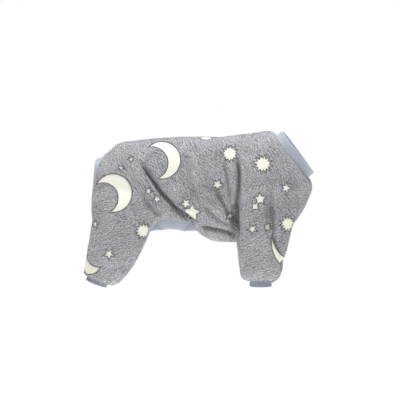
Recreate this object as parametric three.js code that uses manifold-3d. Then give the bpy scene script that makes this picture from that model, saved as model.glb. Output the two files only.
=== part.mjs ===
// A four-legged plush fleece jumpsuit for a small dog, in millimetres.
// It keeps the form it has when it is worn. +X points to the neck, +Z up, and the wearer's right side is -Y.
// The origin is on the inside of the back, where the garment hangs on the wearer.
import * as THREE from "three";
import { mergeVertices } from "three/addons/utils/BufferGeometryUtils.js";
import Module from "manifold-3d";

const wasm = await Module();
wasm.setup();

// Driving sizes of the body.
const BACK_LENGTH = 276; // rump to neck seam, along the back
const BODY_DEPTH = 165; // back line to the underside of the chest
const BODY_WIDTH = 118; // widest, across the chest
const BACK_AT = 0.576; // share of the back length at which the origin lies
const FLEECE_WALL = 2.5; // fleece with its pile pressed down
const RIB_WALL = 2.6; // doubled rib knit
const SEAM_GAP = 0.3; // between two pieces that are sewn together

// Driving sizes of the legs and the rib trim.
const FRONT_LEG_LENGTH = 173; // top of the sleeve to its cuff seam
const FRONT_LEG_GIRTH_DEPTH = 62; // fore and aft, at the full part over the cuff
const FRONT_LEG_WIDTH = 50; // across, at the full part over the cuff
const REAR_LEG_LENGTH = 155.5; // top of the thigh to its cuff seam
const REAR_LEG_GIRTH_DEPTH = 91; // fore and aft, at the thigh
const REAR_LEG_WIDTH = 56; // across, at the thigh
const FRONT_STANCE = 44; // middle of the body to the middle of a front leg
const REAR_STANCE = 45; // middle of the body to the middle of a rear leg
const FRONT_CUFF_HEIGHT = 12.5; // what shows of a front cuff
const REAR_CUFF_HEIGHT = 8.5;
const CUFF_DEPTH = 36; // a leg cuff, fore and aft
const CUFF_WIDTH = 34; // a leg cuff, across
const NECK_BAND_HEIGHT = 13.5;
const NECK_RIM_SHARE = 0.95; // the neck band's rim against its seam
const NECK_CLEAR_SHARE = 1.3; // the body's end is trimmed flat over this much more than the seam
const BINDING_WIDTH = 10; // rib binding round the belly and rump opening
const CUT_REACH = 32; // how far a cutter reaches to each side of the cloth that it cuts

// Fineness of the meshes.
const BODY_STATIONS = 31;
const BODY_SIDES = 30;
const LEG_STATIONS = 14;
const LEG_SIDES = 18;

// Body sections from rump to neck. The first four columns are the section's top and bottom, as shares of
// BACK_LENGTH from the rump and of BODY_DEPTH below the back; wide is a share of BODY_WIDTH.
const BODY_SECTIONS = [
  { topX: -0.025, topZ: 0.41, lowX: -0.03, lowZ: 0.66, wide: 0.3 },
  { topX: -0.015, topZ: 0.28, lowX: -0.023, lowZ: 0.78, wide: 0.56 },
  { topX: 0.006, topZ: 0.19, lowX: 0.0, lowZ: 0.86, wide: 0.74 },
  { topX: 0.05, topZ: 0.13, lowX: 0.05, lowZ: 0.91, wide: 0.84 },
  { topX: 0.12, topZ: 0.06, lowX: 0.12, lowZ: 0.93, wide: 0.9 },
  { topX: 0.225, topZ: 0.033, lowX: 0.225, lowZ: 0.935, wide: 0.92 },
  { topX: 0.35, topZ: 0.011, lowX: 0.35, lowZ: 0.93, wide: 0.91 },
  { topX: 0.463, topZ: 0.0, lowX: 0.463, lowZ: 0.93, wide: 0.91 },
  { topX: 0.576, topZ: 0.0, lowX: 0.57, lowZ: 0.955, wide: 0.93 },
  { topX: 0.69, topZ: 0.0, lowX: 0.68, lowZ: 0.985, wide: 0.97 },
  { topX: 0.78, topZ: -0.02, lowX: 0.79, lowZ: 0.99, wide: 1.0 },
  { topX: 0.853, topZ: -0.03, lowX: 0.92, lowZ: 0.97, wide: 1.0 },
  { topX: 0.91, topZ: -0.043, lowX: 1.055, lowZ: 0.9, wide: 0.97 },
  { topX: 0.949, topZ: -0.055, lowX: 1.152, lowZ: 0.736, wide: 0.9 },
  { topX: 0.977, topZ: -0.053, lowX: 1.21, lowZ: 0.538, wide: 0.8 },
  { topX: 0.992, topZ: -0.042, lowX: 1.212, lowZ: 0.443, wide: 0.7 },
  { topX: 1.0, topZ: -0.019, lowX: 1.184, lowZ: 0.392, wide: 0.62 },
];

// Leg sections from the hidden top to the cuff seam. down and shift are shares of the leg's length, from the
// leg's top and forwards; long and wide are shares of the leg's depth and width; lean turns the section, in
// degrees; close draws the section in to the size of the cuff, from 0 to 1; out is a share of the stance.
const NEAR_SLEEVE_SECTIONS = [
  { down: 0.0, shift: 0.0, long: 0.34, wide: 0.3, lean: 0, close: 0, out: 0.82 },
  { down: 0.07, shift: 0.0, long: 0.66, wide: 0.62, lean: 0, close: 0, out: 0.9 },
  { down: 0.2, shift: 0.0, long: 0.86, wide: 0.86, lean: 0, close: 0, out: 0.98 },
  { down: 0.36, shift: 0.002, long: 0.9, wide: 0.94, lean: 0, close: 0, out: 1.02 },
  { down: 0.53, shift: 0.004, long: 0.89, wide: 0.92, lean: 0, close: 0, out: 1.03 },
  { down: 0.68, shift: 0.012, long: 0.88, wide: 0.9, lean: 0, close: 0, out: 1.02 },
  { down: 0.82, shift: 0.05, long: 0.97, wide: 0.96, lean: 1, close: 0, out: 1.0 },
  { down: 0.92, shift: 0.078, long: 1.0, wide: 1.0, lean: 2, close: 0, out: 1.0 },
  { down: 0.97, shift: 0.084, long: 0.93, wide: 0.94, lean: 2, close: 0, out: 1.0 },
  { down: 1.0, shift: 0.084, long: 0.78, wide: 0.8, lean: 1, close: 0, out: 1.0 },
  { down: 1.012, shift: 0.083, long: 0.76, wide: 0.8, lean: 0, close: 0.6, out: 1.0 },
  { down: 1.0, shift: 0.083, long: 0.76, wide: 0.8, lean: 0, close: 1, out: 1.0 },
];
const FAR_SLEEVE_SECTIONS = [
  { down: 0.0, shift: 0.02, long: 0.4, wide: 0.3, lean: 0, close: 0, out: 0.82 },
  { down: 0.07, shift: 0.025, long: 0.86, wide: 0.62, lean: 0, close: 0, out: 0.9 },
  { down: 0.2, shift: 0.045, long: 1.16, wide: 0.86, lean: 0, close: 0, out: 0.98 },
  { down: 0.36, shift: 0.056, long: 1.26, wide: 0.94, lean: 0, close: 0, out: 1.02 },
  { down: 0.53, shift: 0.063, long: 1.25, wide: 0.94, lean: 2, close: 0, out: 1.03 },
  { down: 0.68, shift: 0.067, long: 1.18, wide: 0.94, lean: 5, close: 0, out: 1.02 },
  { down: 0.82, shift: 0.064, long: 1.04, wide: 0.96, lean: 6, close: 0, out: 1.0 },
  { down: 0.92, shift: 0.06, long: 0.95, wide: 1.0, lean: 4, close: 0, out: 1.0 },
  { down: 0.97, shift: 0.056, long: 0.88, wide: 0.94, lean: 2, close: 0, out: 1.0 },
  { down: 1.0, shift: 0.058, long: 0.75, wide: 0.8, lean: 1, close: 0, out: 1.0 },
  { down: 1.012, shift: 0.058, long: 0.75, wide: 0.8, lean: 0, close: 0.6, out: 1.0 },
  { down: 1.0, shift: 0.058, long: 0.75, wide: 0.8, lean: 0, close: 1, out: 1.0 },
];
const REAR_LEG_SECTIONS = [
  { down: 0.0, shift: 0.0, long: 0.3, wide: 0.34, lean: 0, close: 0, out: 0.8 },
  { down: 0.1, shift: 0.005, long: 0.76, wide: 0.7, lean: 0, close: 0, out: 0.84 },
  { down: 0.24, shift: 0.02, long: 0.97, wide: 0.88, lean: 2, close: 0, out: 0.92 },
  { down: 0.4, shift: 0.03, long: 1.0, wide: 0.98, lean: 4, close: 0, out: 0.97 },
  { down: 0.55, shift: -0.005, long: 0.95, wide: 1.0, lean: 5, close: 0, out: 1.0 },
  { down: 0.69, shift: -0.05, long: 0.88, wide: 0.97, lean: 7, close: 0, out: 1.0 },
  { down: 0.82, shift: -0.095, long: 0.8, wide: 0.92, lean: 10, close: 0, out: 1.0 },
  { down: 0.92, shift: -0.14, long: 0.7, wide: 0.84, lean: 16, close: 0, out: 1.0 },
  { down: 0.98, shift: -0.18, long: 0.56, wide: 0.74, lean: 20, close: 0, out: 1.0 },
  { down: 1.012, shift: -0.2, long: 0.52, wide: 0.7, lean: 21, close: 0.6, out: 1.0 },
  { down: 1.0, shift: -0.196, long: 0.5, wide: 0.68, lean: 21, close: 1, out: 1.0 },
];

// Where each leg hangs: its top as shares of BACK_LENGTH and BODY_DEPTH, its side, and its own sections. The
// right pair is nearer to the viewer, and the left sleeve hangs fuller under the chest.
const LEGS = [
  { name: "right_sleeve", sections: NEAR_SLEEVE_SECTIONS, front: true, side: -1, topX: 0.89, topZ: 0.27 },
  { name: "left_sleeve", sections: FAR_SLEEVE_SECTIONS, front: true, side: 1, topX: 0.895, topZ: 0.27 },
  { name: "right_leg", sections: REAR_LEG_SECTIONS, front: false, side: -1, topX: 0.132, topZ: 0.39 },
  { name: "left_leg", sections: REAR_LEG_SECTIONS, front: false, side: 1, topX: 0.12, topZ: 0.39 },
];

// The opening's edge from the belly to the tail, seen from the side: a point near the cloth, the direction out
// of the cloth, in degrees from straight down towards the rump, and half the opening's width as a share of
// BODY_WIDTH.
const OPENING_EDGE = [
  { x: 0.655, z: 0.97, turn: -10, half: 0.01 },
  { x: 0.628, z: 0.965, turn: 0, half: 0.135 },
  { x: 0.588, z: 0.955, turn: 0, half: 0.235 },
  { x: 0.52, z: 0.94, turn: 0, half: 0.315 },
  { x: 0.435, z: 0.93, turn: 0, half: 0.34 },
  { x: 0.35, z: 0.93, turn: 0, half: 0.3 },
  { x: 0.277, z: 0.93, turn: 0, half: 0.215 },
  { x: 0.18, z: 0.93, turn: 0, half: 0.185 },
  { x: 0.08, z: 0.9, turn: 15, half: 0.185 },
  { x: 0.0, z: 0.81, turn: 52, half: 0.2 },
  { x: -0.028, z: 0.64, turn: 90, half: 0.24 },
  { x: -0.023, z: 0.45, turn: 93, half: 0.25 },
  { x: -0.011, z: 0.31, turn: 101, half: 0.225 },
  { x: 0.006, z: 0.225, turn: 117, half: 0.155 },
  { x: 0.023, z: 0.18, turn: 129, half: 0.06 },
  { x: 0.031, z: 0.16, turn: 133, half: 0.01 },
];

// Main folds of the body, seen from the side: start, middle and end as shares of BACK_LENGTH and BODY_DEPTH,
// with their depth and half-width in shares of BODY_WIDTH.
const BODY_FOLDS = [
  { x: [0.24, 0.35, 0.51], z: [0.25, 0.52, 0.77], deep: 0.06, half: 0.06 },
  { x: [0.25, 0.3, 0.39], z: [0.5, 0.66, 0.8], deep: 0.02, half: 0.06 },
  { x: [0.76, 0.795, 0.785], z: [0.22, 0.45, 0.95], deep: 0.06, half: 0.055 },
  { x: [0.71, 0.745, 0.78], z: [0.28, 0.52, 0.75], deep: 0.03, half: 0.05 },
  { x: [0.66, 0.71, 0.77], z: [0.5, 0.68, 0.8], deep: 0.025, half: 0.06 },
  { x: [0.58, 0.68, 0.79], z: [0.86, 0.87, 0.93], deep: 0.045, half: 0.04 },
  { x: [0.96, 0.98, 0.99], z: [0.5, 0.72, 0.95], deep: 0.035, half: 0.07 },
];

const BODY_SQUARE = 2.25; // superellipse power of the body's sections: 2 is an ellipse
const LEG_SQUARE = 2.1;

function bodyX(share) {
  return (share - BACK_AT) * BACK_LENGTH;
}

function bodyZ(share) {
  return FLEECE_WALL - share * BODY_DEPTH;
}

// Every numeric column of a table, as a smooth function of a place from 0 to 1 along its rows.
function smoothTable(rows) {
  const columns = Object.keys(rows[0]);
  const times = rows.map((row, i) => i / (rows.length - 1));
  const values = rows.flatMap((row) => columns.map((column) => row[column]));
  const curve = new THREE.CubicInterpolant(times, values, columns.length, new Float32Array(columns.length));
  return (at) => {
    const found = curve.evaluate(at);
    return Object.fromEntries(columns.map((column, i) => [column, found[i]]));
  };
}

// A closed ring of points round a centre, from its lowest point towards -Y. up and half-sizes set its oval.
function ovalRing(centre, up, halfUp, halfWide, sides, square) {
  const power = 2 / square;
  return Array.from({ length: sides }, (unused, i) => {
    const angle = (2 * Math.PI * i) / sides;
    const rise = -Math.sign(Math.cos(angle)) * Math.abs(Math.cos(angle)) ** power;
    const across = -Math.sign(Math.sin(angle)) * Math.abs(Math.sin(angle)) ** power;
    return centre
      .clone()
      .addScaledVector(up, rise * halfUp)
      .add(new THREE.Vector3(0, across * halfWide, 0));
  });
}

// The unit normals of a grid of rings, facing out of the tube.
function ringNormals(rings) {
  const last = rings.length - 1;
  return rings.map((ring, i) =>
    ring.map((point, j) => {
      const along = rings[Math.min(i + 1, last)][j].clone().sub(rings[Math.max(i - 1, 0)][j]);
      const round = ring[(j + 1) % ring.length].clone().sub(ring[(j + ring.length - 1) % ring.length]);
      return along.cross(round).normalize();
    }),
  );
}

function offsetRings(rings, distance) {
  const normals = ringNormals(rings);
  return rings.map((ring, i) => ring.map((point, j) => point.clone().addScaledVector(normals[i][j], distance)));
}

function geometryOf(points, triangles) {
  const geometry = new THREE.BufferGeometry();
  geometry.setAttribute("position", new THREE.Float32BufferAttribute(points.flatMap((p) => p.toArray()), 3));
  geometry.setIndex(triangles);
  return geometry;
}

// The side faces between neighbouring rings, whose points start at index first.
function sideFaces(count, sides, first, inward) {
  const faces = [];
  for (let i = 0; i < count - 1; i++) {
    for (let j = 0; j < sides; j++) {
      const a = first + i * sides + j;
      const b = first + i * sides + ((j + 1) % sides);
      const c = a + sides;
      const d = b + sides;
      faces.push(...(inward ? [a, b, c, b, d, c] : [a, c, b, b, c, d]));
    }
  }
  return faces;
}

// A closed solid through the rings, with a fan at each end.
function filledLoft(rings) {
  const sides = rings[0].length;
  const points = rings.flat();
  const faces = sideFaces(rings.length, sides, 0, false);
  [rings[0], rings[rings.length - 1]].forEach((ring, end) => {
    const centre = points.push(centreOf(ring)) - 1;
    const start = end ? (rings.length - 1) * sides : 0;
    for (let j = 0; j < sides; j++) {
      const a = start + j;
      const b = start + ((j + 1) % sides);
      faces.push(...(end ? [centre, b, a] : [centre, a, b]));
    }
  });
  return solidOf(geometryOf(points, faces));
}

// An open tube of cloth: the rings are its outside, and its wall lies within them.
function clothTube(rings, wall) {
  const sides = rings[0].length;
  const inner = offsetRings(rings, -wall);
  const points = [...rings.flat(), ...inner.flat()];
  const half = rings.length * sides;
  const faces = [...sideFaces(rings.length, sides, 0, false), ...sideFaces(rings.length, sides, half, true)];
  for (let j = 0; j < sides; j++) {
    const next = (j + 1) % sides;
    const end = (rings.length - 1) * sides;
    faces.push(j, next, half + j, next, half + next, half + j);
    faces.push(end + j, half + end + j, end + next, end + next, half + end + j, half + end + next);
  }
  return solidOf(geometryOf(points, faces));
}

function solidOf(geometry) {
  const merged = mergeVertices(geometry, 1e-3);
  return new wasm.Manifold(
    new wasm.Mesh({
      numProp: 3,
      vertProperties: merged.attributes.position.array,
      triVerts: new Uint32Array(merged.index.array),
    }),
  );
}

// The largest piece of a solid, without slivers that a cut leaves between a leg and the opening.
function mainPiece(solid) {
  return solid.decompose().reduce((best, piece) => (piece.volume() > best.volume() ? piece : best));
}

function meshOf(name, solid, material) {
  const { vertProperties, triVerts } = solid.getMesh();
  const geometry = new THREE.BufferGeometry();
  geometry.setAttribute("position", new THREE.BufferAttribute(vertProperties, 3));
  geometry.setIndex(new THREE.BufferAttribute(triVerts, 1));
  geometry.computeVertexNormals();
  const mesh = new THREE.Mesh(geometry, material);
  mesh.name = name;
  return mesh;
}

// How far a point of the body is drawn in by the folds. They fade towards the back and the underside.
function foldDepth(point, halfWide) {
  const reach = Math.min(1, Math.abs(point.y) / (0.6 * halfWide)) ** 2;
  let drawn = 0;
  for (const fold of BODY_FOLDS) {
    const path = fold.x.map((x, i) => new THREE.Vector3(bodyX(x), 0, bodyZ(fold.z[i])));
    const flat = new THREE.Vector3(point.x, 0, point.z);
    const near = path.slice(1).map((end, i) => {
      const line = new THREE.Line3(path[i], end);
      return line.closestPointToPoint(flat, true, new THREE.Vector3()).distanceTo(flat);
    });
    const away = Math.min(...near) / (fold.half * BODY_WIDTH);
    drawn += fold.deep * BODY_WIDTH * Math.exp(-away * away);
  }
  return drawn * reach;
}

function bodyRings() {
  const table = smoothTable(BODY_SECTIONS);
  const rings = Array.from({ length: BODY_STATIONS }, (unused, i) => {
    const row = table(i / (BODY_STATIONS - 1));
    const top = new THREE.Vector3(bodyX(row.topX), 0, bodyZ(row.topZ));
    const low = new THREE.Vector3(bodyX(row.lowX), 0, bodyZ(row.lowZ));
    const centre = top.clone().add(low).divideScalar(2);
    const up = top.clone().sub(low);
    const halfUp = up.length() / 2;
    return ovalRing(centre, up.normalize(), halfUp, (row.wide * BODY_WIDTH) / 2, BODY_SIDES, BODY_SQUARE);
  });
  const normals = ringNormals(rings);
  return rings.map((ring, i) => {
    const halfWide = Math.max(...ring.map((p) => Math.abs(p.y)));
    return ring.map((p, j) => p.clone().addScaledVector(normals[i][j], -foldDepth(p, halfWide)));
  });
}

function centreOf(ring) {
  return ring.reduce((sum, p) => sum.add(p), new THREE.Vector3()).divideScalar(ring.length);
}

// The direction in which a ring faces, away from the rings before it.
function facingOf(ring) {
  const up = ring[ring.length / 2].clone().sub(ring[0]);
  return up.cross(new THREE.Vector3(0, -1, 0)).normalize();
}

// The rings with one more beyond the last, so that what they cut out is open there.
function pastTheEnd(rings) {
  const last = rings[rings.length - 1];
  const step = facingOf(last).multiplyScalar(CUT_REACH / 2);
  return [...rings, last.map((p) => p.clone().add(step))];
}

function legRings(leg) {
  const table = smoothTable(leg.sections);
  const length = leg.front ? FRONT_LEG_LENGTH : REAR_LEG_LENGTH;
  const depth = leg.front ? FRONT_LEG_GIRTH_DEPTH : REAR_LEG_GIRTH_DEPTH;
  const width = leg.front ? FRONT_LEG_WIDTH : REAR_LEG_WIDTH;
  const stance = leg.front ? FRONT_STANCE : REAR_STANCE;
  const top = new THREE.Vector3(bodyX(leg.topX), 0, bodyZ(leg.topZ));
  return Array.from({ length: LEG_STATIONS }, (unused, i) => {
    const row = table(i / (LEG_STATIONS - 1));
    const place = new THREE.Vector3(row.shift * length, 0, -row.down * length);
    place.add(top);
    place.y = leg.side * row.out * stance;
    const lean = THREE.MathUtils.degToRad(row.lean);
    const forward = new THREE.Vector3(Math.cos(lean), 0, -Math.sin(lean));
    const long = THREE.MathUtils.lerp(row.long * depth, CUFF_DEPTH, row.close);
    const wide = THREE.MathUtils.lerp(row.wide * width, CUFF_WIDTH, row.close);
    return ovalRing(place, forward, long / 2, wide / 2, LEG_SIDES, LEG_SQUARE);
  });
}

// A cuff hangs from the last ring of its leg, and keeps its lean.
function cuffRings(leg, legRingList) {
  const seam = legRingList[legRingList.length - 1];
  const centre = centreOf(seam);
  const forward = seam[seam.length / 2].clone().sub(seam[0]).normalize();
  const down = facingOf(seam);
  const height = leg.front ? FRONT_CUFF_HEIGHT : REAR_CUFF_HEIGHT;
  return [0, 1].map((share) => {
    const place = centre.clone().addScaledVector(down, SEAM_GAP + share * height);
    return ovalRing(place, forward, CUFF_DEPTH / 2, CUFF_WIDTH / 2, LEG_SIDES, LEG_SQUARE);
  });
}

// The neck's rings, from the seam outwards, at these distances from the seam and shares of its size.
function neckRings(body, places) {
  const seam = body[body.length - 1];
  const centre = centreOf(seam);
  const up = seam[seam.length / 2].clone().sub(seam[0]);
  const halfUp = up.length() / 2;
  up.normalize();
  const out = facingOf(seam);
  const halfWide = Math.max(...seam.map((p) => Math.abs(p.y)));
  return places.map(({ away, size }) => {
    const place = centre.clone().addScaledVector(out, away);
    return ovalRing(place, up, halfUp * size, halfWide * size, BODY_SIDES, BODY_SQUARE);
  });
}

// What is cut out of the cloth for the belly and rump opening. narrower takes a strip off all round.
function openingCutter(narrower) {
  const path = OPENING_EDGE.map((row) => ({
    at: new THREE.Vector3(bodyX(row.x), 0, bodyZ(row.z)),
    half: row.half * BODY_WIDTH - narrower,
    turn: THREE.MathUtils.degToRad(row.turn),
  }));
  const wide = path.filter((row) => row.half > 0);
  const ends = [
    [wide[0], wide[1]],
    [wide[wide.length - 1], wide[wide.length - 2]],
  ];
  for (const [end, next] of ends) end.at.add(next.at.clone().sub(end.at).setLength(narrower));
  const rings = wide.map((row) => {
    const out = new THREE.Vector3(-Math.sin(row.turn), 0, -Math.cos(row.turn)).multiplyScalar(CUT_REACH);
    const half = new THREE.Vector3(0, row.half, 0);
    return [
      row.at.clone().add(out).sub(half),
      row.at.clone().add(out).add(half),
      row.at.clone().sub(out).add(half),
      row.at.clone().sub(out).sub(half),
    ];
  });
  return filledLoft(rings);
}

const fleece = new THREE.MeshStandardMaterial({ name: "fleece", color: 0xa3a3a8, roughness: 0.95, metalness: 0 });
const ribKnit = new THREE.MeshStandardMaterial({ name: "rib_knit", color: 0xa9adb9, roughness: 0.9, metalness: 0 });

function makeJumpsuit() {
  const jumpsuit = new THREE.Group();
  jumpsuit.name = "dog_jumpsuit";
  const body = bodyRings();
  const bodyFilled = filledLoft(body);
  const bodyHollow = filledLoft(pastTheEnd(offsetRings(body, -FLEECE_WALL)));
  const bodyClear = filledLoft(offsetRings(body, SEAM_GAP));
  const opening = openingCutter(0);
  let bodyCloth = bodyFilled.subtract(bodyHollow);
  let binding = bodyCloth.intersect(openingCutter(SEAM_GAP)).subtract(openingCutter(BINDING_WIDTH));
  bodyCloth = bodyCloth.subtract(opening);
  for (const leg of LEGS) {
    const rings = legRings(leg);
    const hollow = filledLoft(offsetRings(rings, -FLEECE_WALL));
    bodyCloth = bodyCloth.subtract(hollow);
    binding = binding.subtract(filledLoft(offsetRings(rings, SEAM_GAP)));
    const cloth = clothTube(rings, FLEECE_WALL).subtract(bodyClear);
    jumpsuit.add(meshOf(leg.name, mainPiece(cloth), fleece));
    jumpsuit.add(meshOf(leg.name + "_cuff", clothTube(cuffRings(leg, rings), RIB_WALL), ribKnit));
  }
  const pastNeck = [
    { away: 0, size: NECK_CLEAR_SHARE },
    { away: CUT_REACH, size: NECK_CLEAR_SHARE },
  ];
  const neckBand = [
    { away: SEAM_GAP, size: 1 },
    { away: SEAM_GAP + NECK_BAND_HEIGHT / 3, size: 1 },
    { away: SEAM_GAP + NECK_BAND_HEIGHT, size: NECK_RIM_SHARE },
  ];
  bodyCloth = bodyCloth.subtract(filledLoft(neckRings(body, pastNeck)));
  jumpsuit.add(meshOf("body", mainPiece(bodyCloth), fleece));
  jumpsuit.add(meshOf("neck_band", clothTube(neckRings(body, neckBand), RIB_WALL), ribKnit));
  jumpsuit.add(meshOf("opening_binding", mainPiece(binding), ribKnit));
  return jumpsuit;
}

export default makeJumpsuit();
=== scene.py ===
"""The looks of a plush fleece dog jumpsuit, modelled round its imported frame.

The fleece is lofted from the same sections as the frame, fused into one skin, creased where the photograph
shows folds, cut open at the neck, feet, belly and rump, and given its wall. A pile of small tufts lies on it.
The rib trim is knitted from rolled sheets. Lengths are in millimetres until they are placed, in metres.
"""

import math
from functools import partial

import bmesh
import bpy
import numpy as np
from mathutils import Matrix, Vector, noise
from mathutils.bvhtree import BVHTree


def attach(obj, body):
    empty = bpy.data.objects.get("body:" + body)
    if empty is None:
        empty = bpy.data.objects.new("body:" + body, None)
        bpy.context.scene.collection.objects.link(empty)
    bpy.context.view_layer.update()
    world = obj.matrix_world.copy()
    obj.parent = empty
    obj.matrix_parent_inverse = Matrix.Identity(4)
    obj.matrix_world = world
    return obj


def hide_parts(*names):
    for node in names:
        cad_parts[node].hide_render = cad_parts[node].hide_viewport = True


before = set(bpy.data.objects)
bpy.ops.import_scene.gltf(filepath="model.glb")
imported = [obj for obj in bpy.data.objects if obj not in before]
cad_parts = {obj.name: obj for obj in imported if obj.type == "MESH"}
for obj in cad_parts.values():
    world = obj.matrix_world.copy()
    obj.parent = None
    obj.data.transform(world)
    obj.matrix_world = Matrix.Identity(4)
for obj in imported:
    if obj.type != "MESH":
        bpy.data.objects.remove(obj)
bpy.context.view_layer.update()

MM = 0.001


def rows_of(columns, rows):
    """The rows of a table by the names of its columns. A row may leave out its last ones."""
    return [dict(zip(columns.split(), row)) for row in rows]


# The photograph's view.
PHOTO_SIDE = 400  # pixels
MM_PER_PIXEL = 1.56  # at the middle of the body
AZIMUTH = math.radians(4)
ELEVATION = math.radians(3)
LENS = 200
SENSOR = 36
AIM = Vector((0, 0, -95.8)) * MM

# Driving sizes, as in the frame.
BACK_LENGTH = 276
BODY_DEPTH = 165
BODY_WIDTH = 118
BACK_AT = 0.576
FLEECE_WALL = 2.5
RIB_WALL = 2.6
FRONT_LEG = {"length": 173, "depth": 62, "width": 50, "stance": 44}
REAR_LEG = {"length": 155.5, "depth": 91, "width": 56, "stance": 45}
CUFF_DEPTH = 36
CUFF_WIDTH = 34
CUFF_RIM_SHARE = 0.97
FRONT_CUFF_HEIGHT = 12.5
REAR_CUFF_HEIGHT = 8.5
NECK_BAND_HEIGHT = 13.5
NECK_RIM_SHARE = 0.96
BAND_TUCK = 5  # of a band under the fleece
BAND_TUCK_SHARE = 0.975
BAND_SAG = 0.35
BINDING_WIDTH = 12
BINDING_TUCK = 4
BINDING_BENEATH = 0.9
BINDING_CURL = 0.018
BODY_SQUARE = 2.25
LEG_SQUARE = 2.1

# Fineness. Lofts are columns round a section and stations along it.
VOXEL = 1.76
SMOOTH_ROUNDS = 18
BODY_LOFT, LEG_LOFT, DROOP_LOFT = (64, 72), (48, 56), (48, 40)
RIB_PITCH = 2.3  # from one rib of the knit to the next
RIB_DEPTH = 0.28
COLUMNS_PER_RIB, BAND_ROWS = 6, 22
COLUMNS_PER_BINDING_RIB, BINDING_ROWS = 4, 16
EDGE_PROBE = 0.3  # the step that finds the slope of the opening's edge
SHARP_EDGE = math.radians(55)

# The pile's tufts. They lie along the nap, which swirls a little, and rise from it by a share of their length.
TUFTS_PER_SQUARE_MM = 0.85
TUFT_LENGTH, TUFT_WIDTH, TUFT_ROOT = 2.3, 0.75, 0.25
TUFT_LIE, TUFT_RISE = 0.86, (0.3, 0.62)
NAP, NAP_SWIRL = np.array([-0.55, 0, -0.8]), np.array([0.5, 0, -0.25])
NAP_SCATTER, NAP_UNEVEN = 0.45, 0.4

# Body sections from rump to neck: top and bottom as shares of BACK_LENGTH from the rump and of BODY_DEPTH
# below the back, and the width as a share of BODY_WIDTH.
BODY_SECTIONS = rows_of("top_x top_z low_x low_z wide", [
    (-0.025, 0.41, -0.03, 0.66, 0.3),
    (-0.01, 0.28, -0.023, 0.78, 0.56),
    (0.016, 0.195, 0, 0.86, 0.74),
    (0.064, 0.135, 0.05, 0.91, 0.84),
    (0.12, 0.06, 0.12, 0.93, 0.9),
    (0.225, 0.033, 0.225, 0.935, 0.92),
    (0.35, 0.011, 0.35, 0.93, 0.91),
    (0.463, 0, 0.463, 0.93, 0.91),
    (0.576, 0, 0.57, 0.955, 0.93),
    (0.69, 0, 0.68, 0.985, 0.97),
    (0.78, -0.02, 0.79, 0.99, 1),
    (0.853, -0.03, 0.92, 0.97, 1),
    (0.91, -0.043, 1.05, 0.9, 0.97),
    (0.949, -0.055, 1.141, 0.736, 0.9),
    (0.977, -0.053, 1.2, 0.538, 0.8),
    (0.992, -0.042, 1.208, 0.443, 0.7),
    (1, -0.019, 1.184, 0.392, 0.62),
])

# Leg sections from the hidden top to the cuff seam, as shares of the leg's own sizes. close draws a section in
# to the cuff, lean is in degrees and out is a share of the stance.
LEG_COLUMNS = "down shift long wide lean close out"
NEAR_SLEEVE_SECTIONS = rows_of(LEG_COLUMNS, [
    (0, 0, 0.34, 0.2, 0, 0, 0.72),
    (0.07, 0, 0.72, 0.5, 0, 0, 0.82),
    (0.2, -0.01, 0.84, 0.78, 0, 0, 0.93),
    (0.36, -0.015, 0.85, 0.9, 0, 0, 1),
    (0.53, -0.008, 0.87, 0.92, 0, 0, 1.02),
    (0.68, 0.012, 0.93, 0.92, 0, 0, 1.02),
    (0.8, 0.042, 1.04, 0.96, 1, 0, 1),
    (0.92, 0.056, 1.02, 1, 1, 0, 1),
    (0.975, 0.058, 0.95, 0.96, 1, 0, 1),
    (1.008, 0.058, 0.8, 0.82, 0, 0.2, 1),
    (1.01, 0.058, 0.76, 0.8, 0, 0.8, 1),
    (0.996, 0.058, 0.76, 0.8, 0, 1, 1),
])
FAR_SLEEVE_SECTIONS = rows_of(LEG_COLUMNS, [
    (0, 0.02, 0.4, 0.2, 0, 0, 0.72),
    (0.07, 0.025, 0.86, 0.5, 0, 0, 0.82),
    (0.2, 0.045, 1.16, 0.8, 0, 0, 0.93),
    (0.36, 0.056, 1.26, 0.92, 0, 0, 1),
    (0.53, 0.063, 1.25, 0.94, 2, 0, 1.03),
    (0.68, 0.067, 1.18, 0.94, 5, 0, 1.02),
    (0.82, 0.06, 0.98, 0.96, 4, 0, 1),
    (0.92, 0.06, 0.96, 1, 4, 0, 1),
    (0.975, 0.056, 0.9, 0.96, 2, 0, 1),
    (1.012, 0.058, 0.78, 0.82, 1, 0.2, 1),
    (1.014, 0.058, 0.75, 0.8, 0, 0.8, 1),
    (1, 0.058, 0.75, 0.8, 0, 1, 1),
])
REAR_LEG_SECTIONS = rows_of(LEG_COLUMNS, [
    (0, 0, 0.3, 0.3, 0, 0, 0.78),
    (0.1, 0.005, 0.76, 0.6, 0, 0, 0.84),
    (0.24, 0.02, 0.97, 0.8, 2, 0, 0.95),
    (0.4, 0.03, 1, 0.92, 4, 0, 1),
    (0.55, -0.005, 0.95, 0.95, 5, 0, 1.02),
    (0.69, -0.05, 0.88, 0.95, 7, 0, 1.01),
    (0.82, -0.095, 0.8, 0.92, 10, 0, 1),
    (0.92, -0.14, 0.7, 0.84, 16, 0, 1),
    (0.985, -0.18, 0.58, 0.76, 20, 0, 1),
    (1.004, -0.211, 0.52, 0.7, 21, 0.5, 1),
    (0.99, -0.208, 0.5, 0.68, 21, 1, 1),
])
LEGS = rows_of("name rows sizes side top cuff", [
    ("right_sleeve", NEAR_SLEEVE_SECTIONS, FRONT_LEG, -1, (0.89, 0.27), FRONT_CUFF_HEIGHT),
    ("left_sleeve", FAR_SLEEVE_SECTIONS, FRONT_LEG, 1, (0.895, 0.27), FRONT_CUFF_HEIGHT),
    ("right_leg", REAR_LEG_SECTIONS, REAR_LEG, -1, (0.132, 0.39), REAR_CUFF_HEIGHT),
    ("left_leg", REAR_LEG_SECTIONS, REAR_LEG, 1, (0.12, 0.39), REAR_CUFF_HEIGHT),
])
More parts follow.
